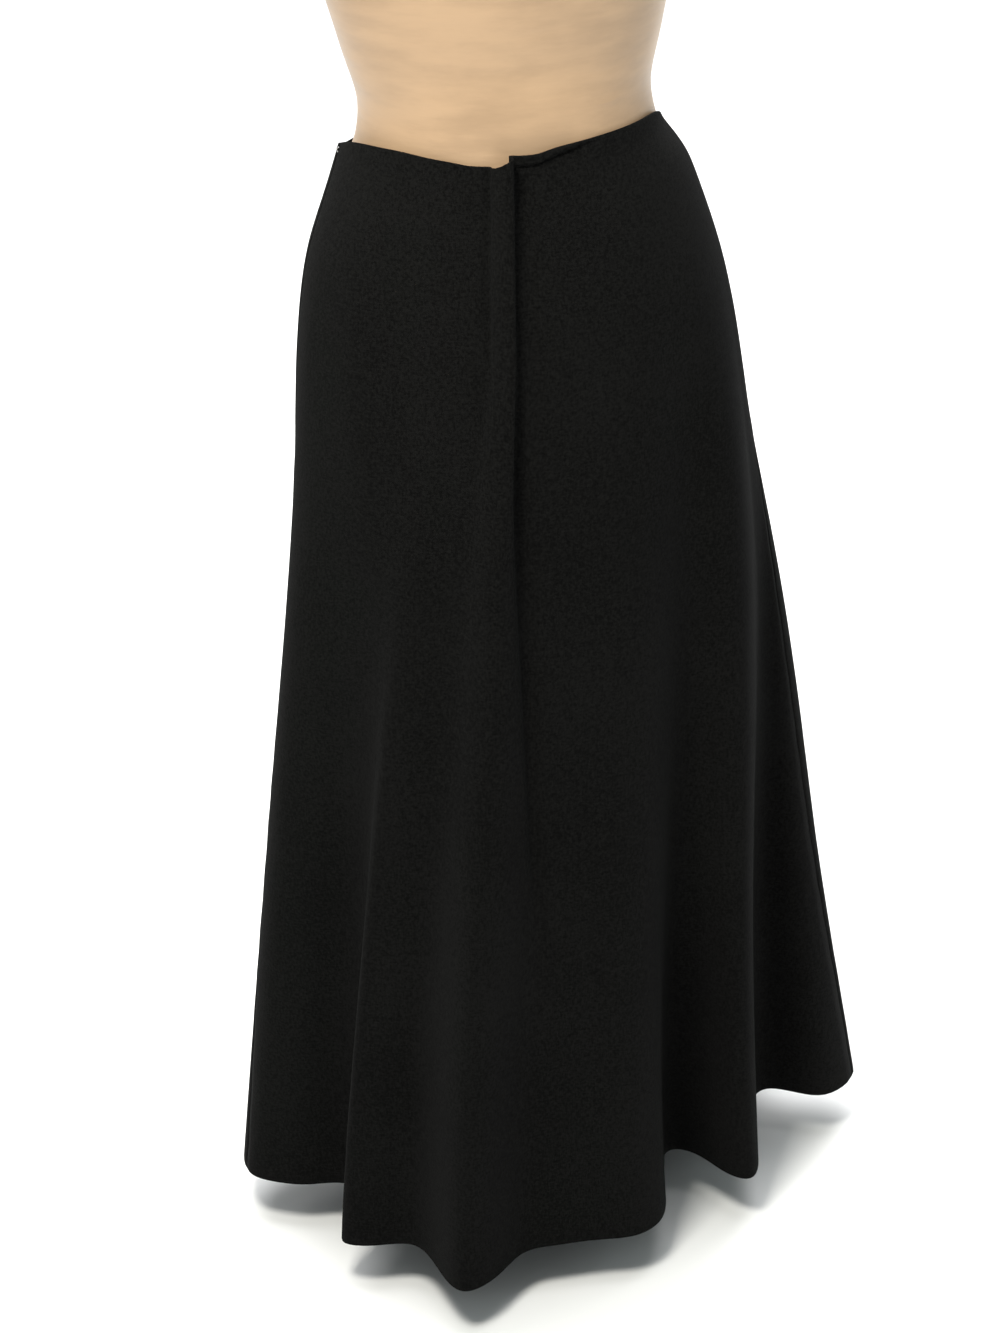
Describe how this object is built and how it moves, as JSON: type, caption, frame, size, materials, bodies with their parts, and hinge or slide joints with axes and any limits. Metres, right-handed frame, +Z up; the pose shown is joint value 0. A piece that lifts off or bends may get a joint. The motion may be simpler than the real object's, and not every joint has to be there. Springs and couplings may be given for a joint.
{
  "type": "a-line maxi skirt on a dress form",
  "caption": "Black A-line maxi skirt hanging in soft flutes on a cream limbless dress form with a round stand, its back pinched into a standing fold, closing at the left side.",
  "frame": {"origin": "on the floor, at the middle of the round base's flat underside, on the axis of the stand's pole", "axes": "+Z up the pole; -Y is the skirt's back, where its spare width is pinched into a standing fold; +Y is its front; the side closing is at -X and the other side seam at +X"},
  "size_m": [0.5765, 0.4606, 1.5093],
  "materials": {
    "black_cloth": "matt black wool-like cloth, fine grain",
    "black_tape": "black zip tape with a fine closed coil",
    "hook_wire": "bright bent wire",
    "cream_form": "cream beige, half gloss, finely wrinkled",
    "stand_paint": "plain dark paint"
  },
  "bodies": {
    "root": {"skirt_back": "black_cloth", "skirt_front": "black_cloth", "side_zip": "black_tape", "hook_and_eye": "hook_wire", "form_torso": "cream_form", "neck_cap": "cream_form", "form_socket": "stand_paint", "stand_pole": "stand_paint", "stand_base": "stand_paint"}
  },
  "joints": []
}
